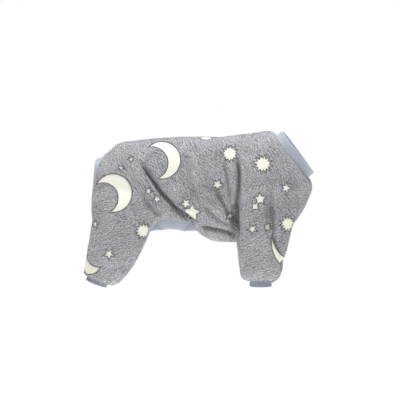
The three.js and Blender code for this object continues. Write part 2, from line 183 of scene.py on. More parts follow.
# The cloth of the chest that droops in front of each sleeve: places as for the body, long and wide as shares of
# the front leg's sizes, and out as a share of its stance.
CHEST_DROOP_SECTIONS = rows_of("x z long wide out", [
    (1.03, 0.46, 0.3, 0.35, 0.6),
    (1.05, 0.57, 0.72, 0.8, 0.7),
    (1.052, 0.7, 0.74, 0.86, 0.78),
    (1.038, 0.83, 0.56, 0.76, 0.92),
    (1.031, 0.955, 0.44, 0.6, 1.04),
    (1.035, 1.05, 0.29, 0.44, 1.14),
    (1.04, 1.12, 0.15, 0.26, 1.2),
    (1.042, 1.15, 0.04, 0.08, 1.22),
])
FLEECE_NODES = ["body"] + [leg["name"] for leg in LEGS]

# The opening's middle line from the belly to the tail, and half its width as a share of BODY_WIDTH.
OPENING_LINE = rows_of("x z half", [
    (0.66, 0.99, 0),
    (0.65, 0.985, 0.1),
    (0.62, 0.965, 0.18),
    (0.588, 0.955, 0.275),
    (0.52, 0.94, 0.365),
    (0.435, 0.93, 0.39),
    (0.35, 0.93, 0.345),
    (0.277, 0.93, 0.2),
    (0.18, 0.93, 0.15),
    (0.08, 0.9, 0.15),
    (0, 0.83, 0.19),
    (-0.028, 0.64, 0.24),
    (-0.023, 0.45, 0.25),
    (-0.011, 0.31, 0.22),
    (0.006, 0.225, 0.15),
    (0.018, 0.19, 0.08),
    (0.026, 0.172, 0),
])
OPENING_REACH = 26  # how far from that line the opening cuts
CAP_SHARE, CAP_REACH = 0.9, 7  # of an end's oval, and to both sides of its plane, that is cut out
# The hem that the strip hangs to at the belly, X and Z in millimetres.
BELLY_HEM = [(-146, -149), (-120, -152), (-100, -152), (-90, -149.5), (-79, -145.2), (-67, -142.2)]
BELLY_HEM += [(-44, -140), (-22, -142.2), (-2, -147), (8, -153), (24, -160)]
# The rump's cloth ends at this line, from the tail down: X and Z in millimetres.
RUMP_LINE = [(-190, -120), (-172, -105), (-164.8, -88), (-162.2, -64.6)]
RUMP_LINE += [(-156, -41), (-149.8, -27), (-153, -23), (-185, -15)]
# Where the strip comes to hang at the belly, lies across the rump, turns up to the tail and narrows at the front.
BELLY_REAR, BELLY_FRONT = (-148, -100), (10, -6)  # X
RUMP_REAR, RUMP_RISE = (-130, -148), (-100, -70)  # X, Z
TAIL_RISE = (-75, -35)  # Z
FRONT_NARROWS = (-12, 4)  # X
FALL_LIMITS = (0.15, 1.7)  # of the strip's width, where it hangs to the hem
EDGE_EVEN, TURN_EVEN, FALL_EVEN = 9, 16, 5  # ribs' steps over which its line, turning and width are evened

# Folds of the near side, along points in the photograph's pixels: deep in millimetres, negative for a raised
# roll; half is the half-width in pixels, and steep narrows it on the side to the right of the path.
FOLDS = rows_of("path deep half steep", [
    ([(137, 158), (143, 168), (150, 178), (160, 192), (172, 206), (185, 217), (196, 225)], 14, 3.6, 0.4),
    ([(147, 162), (156, 178), (168, 193), (181, 207), (194, 216)], -5, 5.5),
    ([(136, 170), (146, 188), (158, 205), (172, 218)], -2, 5),
    ([(139, 192), (146, 202), (154, 211), (161, 217)], 4.5, 3.4, 0.7),
    ([(233, 152), (236.5, 162), (238, 175), (237.4, 190), (235.6, 205), (235, 222), (236.5, 242)], 14, 2.5, 0.5),
    ([(235, 200), (233.5, 213), (233, 223), (235, 234)], 9, 2.6),
    ([(229, 160), (231, 180), (231, 200), (232, 214)], -4.5, 4),
    ([(222, 160), (226, 176), (229, 193), (232, 212)], 6.5, 2.5, 0.7),
    ([(211, 184), (217, 195), (224, 207), (231, 218)], 7, 2.6, 0.7),
    ([(204, 190), (211, 202), (219, 214), (230, 224)], -3.2, 4),
    ([(203, 204), (211, 213), (220, 220), (231, 226)], 4.5, 2.4, 0.8),
    ([(199, 226.5), (208, 229), (218, 231.2), (228, 233.8), (237, 237)], 14, 1.7, 0.7),
    ([(202, 234), (212, 237), (223, 238.8), (236, 240)], -2.5, 2.2),
    ([(231, 217), (234, 224), (235.5, 231)], 8, 2.3),
    ([(186, 150), (185, 168), (188, 185), (194, 202)], 3.6, 3.2),
    ([(193, 150), (194, 170), (197, 188), (204, 204)], -2.6, 4),
    ([(203, 152), (203, 170), (206, 186), (212, 200)], 3.4, 3.2),
    ([(176, 150), (175, 165), (178, 184)], -1.8, 5),
    ([(217, 150), (219, 165), (222, 182)], 3.6, 3),
    ([(165, 178), (169, 191), (177, 204)], 3.2, 3.4),
    ([(270, 180), (268.5, 195), (269.5, 215), (271.5, 238)], 5.5, 3.4, 0.8),
    ([(271, 234), (273.5, 242), (277, 249), (283, 257)], 6, 2),
    ([(277, 185), (276, 203), (277, 222), (279, 238)], -2.6, 4.5),
    ([(286, 186), (284, 204), (284, 222)], 1.7, 3.5),
    ([(278, 150), (284, 160), (291, 170), (299, 178)], 1.8, 4),
    ([(270, 139), (277, 149), (286, 161), (296, 172), (303, 180)], -1.6, 4),
    ([(243, 148), (240, 158), (243, 168)], 1.3, 4),
    ([(150, 228), (146, 240), (141, 250)], 1.6, 3),
    ([(131, 262), (127, 268), (122, 272)], 2.6, 2.2, 0.7),
    ([(129, 200), (134, 214), (143, 224)], 3, 4),
    ([(90, 250), (97, 262), (108, 268), (118, 270)], 1.5, 3.2),
    ([(243, 262), (250, 267), (262, 269), (274, 266)], 1.6, 3),
    ([(246, 226), (250, 240), (252, 254)], 1, 4),
    ([(104, 152), (112, 158), (122, 166)], 1, 5),
    ([(256, 181), (272, 181), (286, 180), (304, 187)], 8, 7.5),
    ([(250, 182), (256, 196), (260, 212)], 1.4, 5),
])
FOLD_ENDS = 0.22, 0.16  # shares of a fold's path over which it begins and ends
FAR_FOLD_SHARE = 0.8
FAR_FOLD_SHIFT = np.array([5.0, 3.0])  # pixels, so that the far side isn't a mirror image
GATHER_DEPTH, GATHER_REACH = 0.9, 9  # of the puckers above a cuff
GATHERS = 13, 21  # round a cuff, in coarse and finer waves
GATHER_LIMIT = 2.4  # in half-widths of the cuff, so that it gathers no other cloth
LUMP_HEIGHT, LUMP_PITCH = 0.12, 5.5  # of the pile
SWELL_HEIGHT, SWELL_PITCH = 0.5, 28  # of the cloth

# Motifs on the near side, at pixels of the photograph, with sizes in pixels. size is the outer radius. A crescent's
# bite is a circle with its own place and size, a star's waist is a share of its size and its turn is in degrees. A
# sunburst is a star of 12 points. reach is how deep a motif goes into the curve of the cloth, in millimetres.
CRESCENT_COLUMNS = "at size bite bite_size reach"
STAR_COLUMNS = "at size points waist turn reach"
NEAR_CRESCENTS = rows_of(CRESCENT_COLUMNS, [
    ((161.8, 160), 18.4, (-10.3, 3), 17),
    ((113, 193), 18.7, (-10, 5), 15.8),
    ((89, 262), 12, (9.8, -7.1), 12.6, 15),
    ((304.5, 241.8), 32.5, (-3.4, -7.7), 28.9),
])
NEAR_STARS = rows_of(STAR_COLUMNS, [
    ((230, 153.5), 7.4, 12, 0.66, 5),
    ((263, 164), 8.4, 12, 0.66, 12),
    ((143.6, 231), 7.4, 12, 0.66, 0),
    ((288, 223.7), 7.4, 12, 0.64, 20, 26),
    ((217.5, 184.5), 5, 5, 0.45, 80),
    ((186, 203.5), 5.2, 5, 0.45, 100),
    ((192, 213), 8.2, 5, 0.55, 60),
    ((286, 188), 4.4, 5, 0.5, 70),
    ((109, 254), 4.9, 5, 0.45, 88),
    ((148.5, 191), 3.3, 5, 0.45, 75),
    ((157, 199), 3.5, 5, 0.45, 95),
    ((131, 159), 2.3, 4, 0.45, 85),
    ((121, 168), 2.4, 5, 0.45, 80),
    ((95, 224), 3.2, 5, 0.45, 60),
    ((252.5, 229), 4.2, 5, 0.42, 95),
    ((230, 216), 3.2, 5, 0.42, 70),
    ((260, 199), 5.8, 5, 0.5, 50),
    ((255.3, 206.5), 3.6, 4, 0.6, 40),
    ((267.5, 227), 3.2, 4, 0.68, 30),
])
# Motifs elsewhere, in millimetres: at the frame's X and Z on the left side, and at its X and Y on the back.
LEFT_CRESCENTS = rows_of(CRESCENT_COLUMNS, [
    ((30, -40), 28, (-14, 5), 26),
    ((-112, -66), 28, (-15, 7), 25),
])
LEFT_STARS = rows_of(STAR_COLUMNS, [
    ((-52, -44), 12, 12, 0.66, 8),
    ((100, -36), 12, 12, 0.66, 3),
    ((-120, -134), 11, 12, 0.66, 0),
    ((124, -92), 11, 12, 0.66, 15),
    ((-12, -84), 8, 5, 0.45, 80),
    ((26, -112), 7, 5, 0.45, 40),
    ((74, -80), 6, 5, 0.45, 60),
    ((-78, -24), 4, 5, 0.45, 75),
    ((92, -136), 8, 5, 0.45, 75),
    ((108, -182), 6, 5, 0.45, 25),
    ((-146, -180), 7, 5, 0.45, 25),
    ((-66, -92), 5, 5, 0.45, 55),
])
BACK_CRESCENTS = rows_of(CRESCENT_COLUMNS, [
    ((-22, 21), 20, (-10, -4), 18.5, 20),
])
BACK_STARS = rows_of(STAR_COLUMNS, [
    ((10, -9), 11, 12, 0.66, 3),
    ((78, -8), 8, 5, 0.45, 9),
    ((-92, 20), 11, 12, 0.66, 9),
    ((52, 24), 11, 12, 0.66, 9),
    ((22, 22), 5, 5, 0.45, 80),
    ((-66, 14), 5, 5, 0.45, 60),
    ((88, 26), 7, 5, 0.45, 30),
])
MOTIF_RECESS = 0.7  # millimetres below the pile
MOTIF_EDGE = 1.0  # the width of the painted shade line round a motif, in millimetres
CRESCENT_REACH = 40
STAR_REACH = 20

# The pile's look: scales of noise in waves per metre, and shares of its height and tone.
PILE_ROW = 3.5  # from one row of the pile to the next
WAVE_UNIT = 0.314  # the scale of a wave texture whose bands are 1 apart
ROW_WAVER = {"Distortion": 11, "Detail": 3, "Detail Scale": 1.6}
CRUMB_SCALE, STRAND_SCALE, BRUSH_SCALE, RAGGED_SCALE, FACE_SCALE = 500, 1100, 26, 520, 900
ROW_SHARE, CRUMB_SHARE, STRAND_SHARE, BRUSH_SHARE = 0.18, 0.49, 0.33, 0.15
BODY_TURN = (0, math.radians(40), 0)
LEG_TURN = (0, math.radians(-65), 0)
KNIT_LOOP_SCALE, KNIT_WEAR_SCALE, KNIT_LOOP_SHARE = 1300, 45, 0.6
PILE_TONES, KNIT_TONES, UNEVEN = (0.37, 0.63), (0.2, 0.55), (0.3, 0.7)  # the noise that spans dark to light

# Colours, linear.
FLEECE_DARK = (0.155, 0.153, 0.167, 1)
FLEECE_LIGHT = (0.53, 0.527, 0.55, 1)
CREAM = (0.735, 0.725, 0.64, 1)
CREAM_SHADE = (0.64, 0.625, 0.54, 1)
# Painted shade: the dark line drawn round each motif, where the pile stands over its pressed face.
MOTIF_RIM_SHADE = (0.06, 0.06, 0.065, 1)
RIB_BLUE = (0.37, 0.395, 0.455, 1)
RIB_SHADE = (0.25, 0.265, 0.31, 1)
# Painted shade: the cuffs' rib is a darker copy of the neck band's, for the shadow of the fleece that overhangs
# them.
SHADED_CUFF_BLUE = (0.28, 0.295, 0.345, 1)
SHADED_CUFF_DARK = (0.18, 0.19, 0.23, 1)

# The studio. The floor lies well below, so that no shadow shows.
WORLD_LIGHT = 0.23  # of the white that shows behind
FLOOR_HEIGHT, FLOOR_RADIUS, FLOOR_GLOW = -0.55, 4, 0.78
LIGHTS = rows_of("name place size power", [
    ("key", (0.35, -0.85, 2), 0.7, 45),
    ("top", (-0.5, 0.25, 2.1), 1.2, 46),
])


def body_x(share):
    return (share - BACK_AT) * BACK_LENGTH


def body_z(share):
    return FLEECE_WALL - share * BODY_DEPTH


def smooth_table(rows):
    """A smooth function of a place from 0 to 1 along the rows of a table."""
    columns = list(rows[0])
    values = np.array([[row[c] for c in columns] for row in rows], float)
    slopes = np.gradient(values, axis=0)
    last = len(rows) - 1

    def at(share):
        i = min(int(share * last), last - 1)
        t = share * last - i
        found = (
            (2 * t**3 - 3 * t**2 + 1) * values[i]
            + (t**3 - 2 * t**2 + t) * slopes[i]
            + (3 * t**2 - 2 * t**3) * values[i + 1]
            + (t**3 - t**2) * slopes[i + 1]
        )
        return dict(zip(columns, found))

    return at


def smooth_step(low, high, values):
    t = np.clip((values - low) / (high - low), 0, 1)
    return t * t * (3 - 2 * t)


# The photograph's view.
def camera_axes():
    level = math.cos(ELEVATION)
    back = Vector((math.sin(AZIMUTH) * level, -math.cos(AZIMUTH) * level, math.sin(ELEVATION)))
    right = Vector((math.cos(AZIMUTH), math.sin(AZIMUTH), 0))
    return right, back.cross(right), back


RIGHT, UP, BACK = camera_axes()
DISTANCE = PHOTO_SIDE * MM_PER_PIXEL * MM * LENS / SENSOR
EYE = AIM + BACK * DISTANCE


def photo_pixels(points):
    """Where points in metres lie in the photograph."""
    away = points - np.array(EYE)
    scale = LENS / SENSOR * PHOTO_SIDE / -(away @ np.array(BACK))
    across = PHOTO_SIDE / 2 + (away @ np.array(RIGHT)) * scale
    down = PHOTO_SIDE / 2 - (away @ np.array(UP)) * scale
    return np.stack([across, down], axis=1)


def photo_ray(pixel):
    """The direction from the eye through a pixel."""
    step = SENSOR / LENS / PHOTO_SIDE
    across = (pixel[0] - PHOTO_SIDE / 2) * step
    over = (PHOTO_SIDE / 2 - pixel[1]) * step
    return (RIGHT * across + UP * over - BACK).normalized()


# Modelling helpers.
def rolled_sheet(columns, rows, place):
    """A grid whose columns run round a loop and whose rows run along it, put in place by place(u, v)."""
    bm = bmesh.new()
    bmesh.ops.create_grid(bm, x_segments=columns, y_segments=rows, size=1)
    for vert in bm.verts:
        vert.co = place((vert.co.x + 1) / 2, (vert.co.y + 1) / 2)
    bmesh.ops.remove_doubles(bm, verts=bm.verts, dist=0.01 * MM)
    return bm


def oval_point(centre, up, half_up, half_wide, angle, square):
    """A point on a superellipse in the plane of up and Y, from its lowest point towards -Y."""
    power = 2 / square
    rise = -math.copysign(abs(math.cos(angle)) ** power, math.cos(angle))
    across = -math.copysign(abs(math.sin(angle)) ** power, math.sin(angle))
    return (centre + up * (rise * half_up) + Vector((0, across * half_wide, 0))) * MM


def section(centre, up, half_up, half_wide):
    return {"centre": centre, "up": up, "half_up": half_up, "half_wide": half_wide}


def body_section(row):
    top = Vector((body_x(row["top_x"]), 0, body_z(row["top_z"])))
    low = Vector((body_x(row["low_x"]), 0, body_z(row["low_z"])))
    return section((top + low) / 2, (top - low).normalized(), (top - low).length / 2, row["wide"] * BODY_WIDTH / 2)


def leg_section(leg, row):
    sizes = leg["sizes"]
    x = body_x(leg["top"][0]) + row["shift"] * sizes["length"]
    z = body_z(leg["top"][1]) - row["down"] * sizes["length"]
    lean = math.radians(row["lean"])
    long = row["long"] * sizes["depth"] * (1 - row["close"]) + CUFF_DEPTH * row["close"]
    wide = row["wide"] * sizes["width"] * (1 - row["close"]) + CUFF_WIDTH * row["close"]
    centre = Vector((x, leg["side"] * row["out"] * sizes["stance"], z))
    return section(centre, Vector((math.cos(lean), 0, -math.sin(lean))), long / 2, wide / 2)


def droop_section(side, row):
    centre = Vector((body_x(row["x"]), side * row["out"] * FRONT_LEG["stance"], body_z(row["z"])))
    half_long, half_wide = row["long"] * FRONT_LEG["depth"] / 2, row["wide"] * FRONT_LEG["width"] / 2
    return section(centre, Vector((1, 0, 0)), half_long, half_wide)


def filled_loft(rows, section_of, square, columns, stations):
    """A closed solid through the sections of a table."""
    table = smooth_table(rows)

    def place(u, v):
        return oval_point(angle=2 * math.pi * u, square=square, **section_of(table(v)))

    bm = rolled_sheet(columns, stations, place)
    bmesh.ops.holes_fill(bm, edges=[e for e in bm.edges if e.is_boundary], sides=0)
    bmesh.ops.recalc_face_normals(bm, faces=bm.faces)
    return bm


def linked(name, data):
    """A new object in the scene."""
    obj = bpy.data.objects.new(name, data)
    bpy.context.scene.collection.objects.link(obj)
    return obj


def object_of(bm, name):
    mesh = bpy.data.meshes.new(name)
    bm.to_mesh(mesh)
    bm.free()
    return linked(name, mesh)


def knitted(bm, name, material):
    """A smooth object of one knit."""
    for face in bm.faces:
        face.smooth = True
    bmesh.ops.recalc_face_normals(bm, faces=bm.faces)
    obj = object_of(bm, name)
    obj.data.materials.append(material)
    return obj


def fused_skin(solids):
    """The outer skin of the solids as one even mesh, rounded where they meet."""
    together = bmesh.new()
    for solid in solids:
        mesh = bpy.data.meshes.new("part_of_skin")
        solid.to_mesh(mesh)
        solid.free()
        together.from_mesh(mesh)
        bpy.data.meshes.remove(mesh)
    obj = object_of(together, "skin")
    remesh = obj.modifiers.new("fuse", "REMESH")
    remesh.mode = "VOXEL"
    remesh.voxel_size = VOXEL * MM
    round_off = obj.modifiers.new("round", "SMOOTH")
    round_off.factor = 0.5
    round_off.iterations = SMOOTH_ROUNDS
    evaluated = obj.evaluated_get(bpy.context.evaluated_depsgraph_get())
    mesh = bpy.data.meshes.new_from_object(evaluated)
    bpy.data.objects.remove(obj)
    return mesh


def read(items, attribute, width=3, kind=np.float32):
    """An attribute of all the items of a mesh, in one row for each."""
    found = np.empty(len(items) * width, kind)
    items.foreach_get(attribute, found)
    return found.reshape(-1, width)


def positions(mesh):
    return read(mesh.vertices, "co").astype(float)


def set_positions(mesh, points):
    mesh.vertices.foreach_set("co", points.astype(np.float32).ravel())
    mesh.update()


def normals_of(mesh):
    return read(mesh.vertex_normals, "vector").astype(float)


def unit(vectors):
    return vectors / np.linalg.norm(vectors, axis=1)[:, None]


def way_along(points):
    """How far each point lies along the line of all of them."""
    return np.concatenate([[0], np.cumsum(np.linalg.norm(np.diff(points, axis=0), axis=1))])


# Folds and relief.
def path_distance(points, path):
    """Each point's signed distance to a path, positive on its right, and its share of the way along it."""
    best, signed, along = np.full(len(points), 1e9), np.zeros(len(points)), np.zeros(len(points))
    knots = np.array(path, float)
    before = way_along(knots)
    for i, length in enumerate(np.diff(before)):
        step = (knots[i + 1] - knots[i]) / length
        away = points - knots[i]
        t = np.clip(away @ step, 0, length)
        off = away - t[:, None] * step
        distance = np.linalg.norm(off, axis=1)
        on_left = off[:, 0] * step[1] < off[:, 1] * step[0]
        nearer = distance < best
        best = np.where(nearer, distance, best)
        signed = np.where(nearer, np.where(on_left, -distance, distance), signed)
        along = np.where(nearer, (before[i] + t) / before[-1], along)
    return signed, along


def fold_depth(pixels):
    """How far the folds draw the cloth in at these pixels, in millimetres."""
    drawn = np.zeros(len(pixels))
    for fold in FOLDS:
        signed, along = path_distance(pixels, fold["path"])
        half = np.where(signed < 0, fold["half"] * fold.get("steep", 1), fold["half"])
        taper = smooth_step(0, FOLD_ENDS[0], along) * smooth_step(0, FOLD_ENDS[1], 1 - along)
        drawn += fold["deep"] * taper * np.exp(-((signed / half) ** 2))
    return drawn


def noise_field(points, pitch, seed):
    """Smooth noise from -1 to 1 at points in metres, with waves about a pitch in millimetres long."""
    offset = Vector((seed * 7.31, seed * 3.17, seed * 5.77))
    scale = 1 / (pitch * MM)
    return np.array([noise.noise(Vector(p) * scale + offset) for p in points])


def crease(mesh):
    """Draws the folds and gathers into the skin, and raises the lumps of the pile."""
    points = positions(mesh)
    normals = normals_of(mesh)
    side = np.sign(points[:, 1])
    mirrored = points * np.array([1, -1, 1])
    near = fold_depth(photo_pixels(points))
    far = fold_depth(photo_pixels(mirrored) + FAR_FOLD_SHIFT) * FAR_FOLD_SHARE
    outward = smooth_step(0.05, 0.5, normals[:, 1] * side)
    drawn = np.where(side < 0, near, far) * outward
    lumps = LUMP_HEIGHT * noise_field(points, LUMP_PITCH, 1) + SWELL_HEIGHT * noise_field(points, SWELL_PITCH, 2)
    set_positions(mesh, points + normals * ((lumps - drawn - gathers(points)) * MM)[:, None])


def gathers(points):
    """How far the seams of the cuffs gather the cloth, in millimetres."""
    drawn = np.zeros(len(points))
    for end in end_frames():
        away = points / MM - np.array(end["centre"])
        over = away @ np.array(end["out"])
        rise, across = away @ np.array(end["up"]) / end["half_up"], away[:, 1] / end["half_wide"]
        angle = np.arctan2(rise, across)
        near = (np.hypot(rise, across) < GATHER_LIMIT) * np.exp(-(((over + 2) / GATHER_REACH) ** 2))
        waves = np.cos(GATHERS[0] * angle + 1.7 * np.sin(2 * angle)) + 0.6 * np.cos(GATHERS[1] * angle + 2)
        drawn += GATHER_DEPTH * near * waves * end["gather"]
    return drawn


# Motifs.
def motif_frame(motif, centre, right, up, out, scale):
    """A motif's place: unit vectors over its size, so that its own coordinates run from -1 to 1."""
    size = motif["size"] * scale
    reach = motif.get("reach", CRESCENT_REACH if "bite" in motif else STAR_REACH)
    return {**motif, "centre": centre, "right": right / size, "up": up / size, "out": out / (reach * MM)}


def near_motif(tree, motif):
    """A motif where the photograph has it. Pixels count downwards, so its bite is turned over.
    One whose middle lies off the cloth is seated level with the near side."""
    if "bite" in motif:
        motif = {**motif, "bite": (motif["bite"][0], -motif["bite"][1])}
    towards = photo_ray(motif["at"])
    centre = tree.ray_cast(EYE, towards)[0]
    if centre is None:
        centre = EYE + towards * (DISTANCE - BODY_WIDTH / 2 * MM)
    scale = (centre - EYE).length * SENSOR / LENS / PHOTO_SIDE
    return motif_frame(motif, centre, RIGHT, UP, BACK, scale)


def placed_motifs(tree):
    """Every motif, seated on the skin."""
    x_axis, y_axis, z_axis = Vector((1, 0, 0)), Vector((0, 1, 0)), Vector((0, 0, 1))
    placed = [near_motif(tree, motif) for motif in NEAR_CRESCENTS + NEAR_STARS]
    for motif in LEFT_CRESCENTS + LEFT_STARS:
        start = Vector((motif["at"][0] * MM, 1, motif["at"][1] * MM))
        placed.append(motif_frame(motif, tree.ray_cast(start, -y_axis)[0], -x_axis, z_axis, y_axis, MM))
    for motif in BACK_CRESCENTS + BACK_STARS:
        start = Vector((motif["at"][0] * MM, motif["at"][1] * MM, 1))
        placed.append(motif_frame(motif, tree.ray_cast(start, -z_axis)[0], x_axis, y_axis, z_axis, MM))
    return placed


def motif_mask(motif, points):
    """1 inside a motif and 0 outside."""
    away = points - np.array(motif["centre"])
    x = away @ np.array(motif["right"])
    y = away @ np.array(motif["up"])
    depth = np.abs(away @ np.array(motif["out"]))
    radius = np.sqrt(x**2 + y**2 + np.maximum(2 * depth - 1, 0) ** 2)
    if "bite" in motif:
        bite = np.array(motif["bite"]) / motif["size"]
        inside = (radius < 1) & (np.hypot(x - bite[0], y - bite[1]) > motif["bite_size"] / motif["size"])
    else:
        inside = star_value(np.arctan2(y, x), radius, motif) < 0
    return (inside & (depth < 1)).astype(float)


def motifs_mask(motifs, points):
    """1 inside any of the motifs."""
    return np.max([motif_mask(motif, points) for motif in motifs], axis=0)


def star_value(angle, radius, motif):
    """Under 0 within a star: its points and waists repeat round it, mirrored, so one half of a point will do."""
    half_turn = math.pi / motif["points"]
    turned = angle + math.radians(motif["turn"])
    folded = half_turn - np.abs((turned % (2 * half_turn)) - half_turn)
    across, over = radius * np.cos(folded), radius * np.sin(folded)
    waist_x, waist_y = motif["waist"] * math.cos(half_turn), motif["waist"] * math.sin(half_turn)
    return (across - 1) * waist_y + over * (1 - waist_x)


# Cutting the skin open.
def opening_value(points):
    """Under 0 inside the belly and rump opening, in millimetres across its edge."""
    knots = np.array([(body_x(row["x"]), body_z(row["z"])) for row in OPENING_LINE])
    halves = [row["half"] * BODY_WIDTH for row in OPENING_LINE]
    flat = points[:, [0, 2]] / MM
    away, along = path_distance(flat, knots)
    before = way_along(knots)
    half = np.interp(along, before / before[-1], halves)
    below = np.maximum(np.abs(points[:, 1]) / MM - half, np.abs(away) - OPENING_REACH)
    line = np.array(RUMP_LINE, float)
    return np.minimum(below, flat[:, 0] - np.interp(flat[:, 1], line[:, 1], line[:, 0]))


def end_frames():
    """The plane and the oval of each end that a rib band is sewn to, with the band's height and rim size."""
    neck = body_section(BODY_SECTIONS[-1])
    neck.update(name="neck_band", height=NECK_BAND_HEIGHT, square=BODY_SQUARE, rim=NECK_RIM_SHARE, gather=0.3)
    ends = [neck]
    for leg in LEGS:
        foot = leg_section(leg, leg["rows"][-1])
        foot.update(name=leg["name"] + "_cuff", height=leg["cuff"], square=LEG_SQUARE, rim=CUFF_RIM_SHARE, gather=1)
        ends.append(foot)
    for end in ends:
        end["out"] = end["up"].cross(Vector((0, -1, 0)))
    return ends


def end_value(points, end, share):
    """Under 0 on the part of an end's cap that lies within a share of its oval."""
    away = points / MM - np.array(end["centre"])
    over = away @ np.array(end["out"])
    rise = np.abs(away @ np.array(end["up"])) / end["half_up"]
    across = np.abs(away[:, 1]) / end["half_wide"]
    radius = (rise ** end["square"] + across ** end["square"]) ** (1 / end["square"])
    return np.maximum((radius - share) * min(end["half_up"], end["half_wide"]), np.abs(over) - CAP_REACH)


def cut_open(mesh, ends):
    """Takes the openings out of the skin, and draws its edge at the belly and rump onto a smooth line."""
    points = positions(mesh)
    inside = opening_value(points) < 0
    for end in ends:
        inside |= end_value(points, end, CAP_SHARE) < 0
    bm = bmesh.new()
    bm.from_mesh(mesh)
    gone = [face for face in bm.faces if all(inside[v.index] for v in face.verts)]
    bmesh.ops.delete(bm, geom=gone, context="FACES")
    loose = [v for v in bm.verts if not v.link_faces]
    bmesh.ops.delete(bm, geom=loose, context="VERTS")
    edge = [v for v in bm.verts if v.is_boundary]
    at = np.array([v.co for v in edge])
    near = np.abs(opening_value(at)) < 4 * VOXEL
    for turn in range(3):
        value = opening_value(at)
        steps = np.eye(3) * EDGE_PROBE * MM
        slope = np.stack([opening_value(at + step) - value for step in steps], axis=1) / EDGE_PROBE
        size = np.maximum((slope**2).sum(axis=1), 0.2)
        at -= np.where(near, value / size, 0)[:, None] * slope * MM * 0.8
    for vert, place in zip(edge, at):
        vert.co = Vector(place)
    rims = [v for v, beside in zip(edge, near) if beside]
    for turn in range(4):
        bmesh.ops.smooth_vert(bm, verts=rims, factor=0.3, use_axis_x=True, use_axis_y=True, use_axis_z=True)
    bm.normal_update()
    bm.to_mesh(mesh)
    bm.free()


def opening_loop(mesh):
    """The edge of the belly and rump opening: its points in order, and the skin's normals there."""
    bm = bmesh.new()
    bm.from_mesh(mesh)
    edges = dict.fromkeys(e for e in bm.edges if e.is_boundary)  # in the mesh's order, so that every run is alike
    loops = []
    while edges:
        edge = edges.popitem()[0]
        loop = [edge.verts[0], edge.verts[1]]
        while True:
            following = next((e for e in loop[-1].link_edges if e in edges), None)
            if following is None:
                break
            del edges[following]
            loop.append(following.other_vert(loop[-1]))
        loops.append(loop)
    longest = max(loops, key=len)
    if longest[0] is longest[-1]:
        longest.pop()
    points = np.array([v.co for v in longest])
    normals = np.array([v.normal for v in longest])
    bm.free()
    return points, normals


# Pieces.
def nearest_node(points, names):
    """For each point, the index of the frame's node that lies nearest."""
    depsgraph = bpy.context.evaluated_depsgraph_get()
    distances = []
    for name in names:
        tree = BVHTree.FromObject(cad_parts[name], depsgraph)
        distances.append([tree.find_nearest(Vector(p))[3] for p in points])
    return np.argmin(np.array(distances), axis=0)


def fleece_piece(mesh, owner, index, name, materials):
    """The part of the skin that belongs to one node, with its wall, the backing on its inside."""
    bm = bmesh.new()
    bm.from_mesh(mesh)
    bm.faces.ensure_lookup_table()
    others = [face for face in bm.faces if owner[face.index] != index]
    bmesh.ops.delete(bm, geom=others, context="FACES")
    skin_at = BVHTree.FromBMesh(bm)
    bmesh.ops.solidify(bm, geom=list(bm.faces), thickness=FLEECE_WALL * MM)
    for face in bm.faces:
        face.smooth = True
        beneath = skin_at.find_nearest(face.calc_center_median())[3]
        face.material_index = int(beneath > 0.6 * FLEECE_WALL * MM)
    for edge in bm.edges:
        if len(edge.link_faces) == 2 and edge.calc_face_angle(0) > SHARP_EDGE:
            edge.smooth = False
    obj = object_of(bm, name)
    for material in materials:
        obj.data.materials.append(material)
    return obj


def pile_piece(mesh, owner, index, name, motifs, material, seed):
    """Short tufts that lie along the nap on one node's part of the skin, and leave its motifs bare."""
    random = np.random.default_rng(seed)
    mesh.calc_loop_triangles()
    corners = read(mesh.loop_triangles, "vertices", 3, np.int32)
    parents = read(mesh.loop_triangles, "polygon_index", 1, np.int32)[:, 0]
    corners = corners[owner[parents] == index]
    points, normals = positions(mesh), normals_of(mesh)
    a, b, c = points[corners[:, 0]], points[corners[:, 1]], points[corners[:, 2]]
    areas = np.linalg.norm(np.cross(b - a, c - a), axis=1) / 2
    count = int(areas.sum() / MM**2 * TUFTS_PER_SQUARE_MM)
    chosen = random.choice(len(areas), count, p=areas / areas.sum())
    weights = random.dirichlet((1, 1, 1), count)[:, :, None]
    roots = (points[corners[chosen]] * weights).sum(axis=1)
    out = unit((normals[corners[chosen]] * weights).sum(axis=1))
    covered = motifs_mask(motifs, roots) == 0
    roots, out = roots[covered], out[covered]
    count = len(roots)
    swirl = np.sin(roots[:, 0] * 310 + roots[:, 2] * 170) + np.sin(roots[:, 2] * 260 - roots[:, 0] * 90 + 1)
    nap = NAP + swirl[:, None] * NAP_SWIRL + random.normal(0, NAP_SCATTER, (count, 3))
    nap = unit(nap - (nap * out).sum(axis=1)[:, None] * out)
    lie = nap * TUFT_LIE + out * random.uniform(*TUFT_RISE, count)[:, None]
    across = np.cross(nap, out)
    long = TUFT_LENGTH * MM * random.uniform(0.6, 1.15, count)[:, None]
    wide = TUFT_WIDTH * MM * random.uniform(0.7, 1.2, count)[:, None]
    root = roots - out * TUFT_ROOT * MM
    verts = np.stack([root - across * wide / 2, root + across * wide / 2, root + lie * long], axis=1).reshape(-1, 3)
    tufts = bpy.data.meshes.new(name)
    tufts.from_pydata(verts, [], np.arange(count * 3).reshape(-1, 3))
    tufts.polygons.foreach_set("use_smooth", np.ones(count, bool))
    tufts.materials.append(material)
    tufts.update()
    facing = unit(out + random.normal(0, NAP_UNEVEN, (count, 3)))
    tufts.normals_split_custom_set(np.repeat(facing, 3, axis=0))
    return linked(name, tufts)


def rib_wave(angle_share, ribs):
    """The height of the knit's ribs round a band, as a share from 0 to 1."""
    return abs(math.cos(math.pi * ribs * angle_share)) ** 1.5


